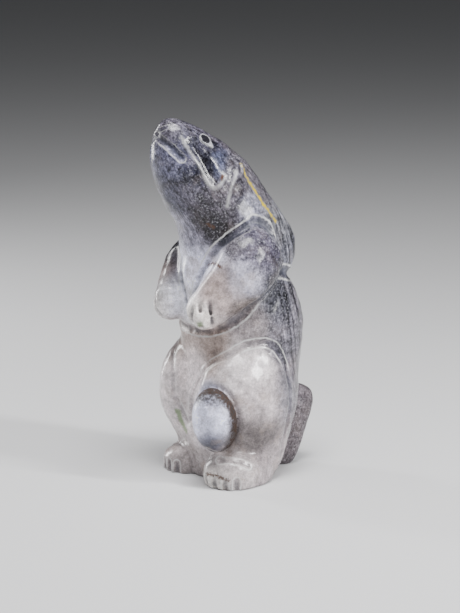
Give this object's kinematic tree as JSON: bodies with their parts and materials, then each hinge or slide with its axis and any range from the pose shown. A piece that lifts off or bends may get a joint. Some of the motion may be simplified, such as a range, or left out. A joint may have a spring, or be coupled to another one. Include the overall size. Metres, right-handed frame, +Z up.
{
  "type": "carved stone prairie dog figurine",
  "caption": "Small polished stone carving of a prairie dog sitting up with folded paws and raised head, with inlaid dark eyes; stands on its flat underside.",
  "frame": {"origin": "on the ground under the middle of the figure's bounding box", "axes": "+Z is up, from the flat underside to the top of the raised muzzle; the figure faces -Y and its left side is +X"},
  "size_m": [0.03, 0.0385, 0.075],
  "materials": {
    "marble": "polished grey and cream veined marble",
    "jet": "polished black stone inlay"
  },
  "bodies": {
    "root": {"prairie_dog": "marble", "left_eye": "jet", "right_eye": "jet"}
  },
  "joints": []
}
